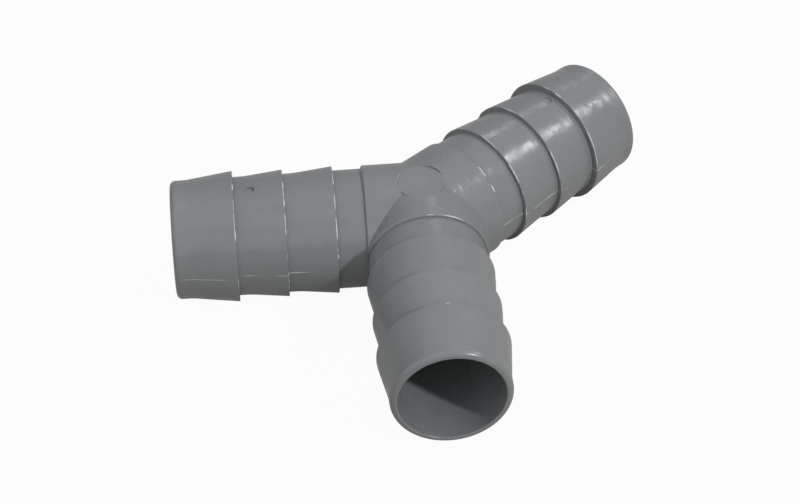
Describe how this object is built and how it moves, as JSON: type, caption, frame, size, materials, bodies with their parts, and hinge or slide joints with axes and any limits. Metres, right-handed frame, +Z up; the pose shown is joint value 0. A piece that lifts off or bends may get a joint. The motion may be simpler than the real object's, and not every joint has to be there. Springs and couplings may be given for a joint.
{
  "type": "tubing y connector",
  "caption": "One-piece moulded Y connector with barbed hose arms in one plane, a plain round hub and a bore right through.",
  "frame": {"origin": "centre of the front arm's mouth, on that arm's axis, in the parting plane", "axes": "-Y points out of the front arm's mouth, +Y runs from it to the crossing of the three arms, +Z is up, square to the plane that holds all three arm axes"},
  "size_m": [0.1019, 0.0927, 0.0276],
  "materials": {
    "grey_plastic": "mid grey moulded plastic with a satin gloss, slightly uneven, with fine mould marks"
  },
  "bodies": {
    "root": {"y_connector": "grey_plastic"}
  },
  "joints": []
}
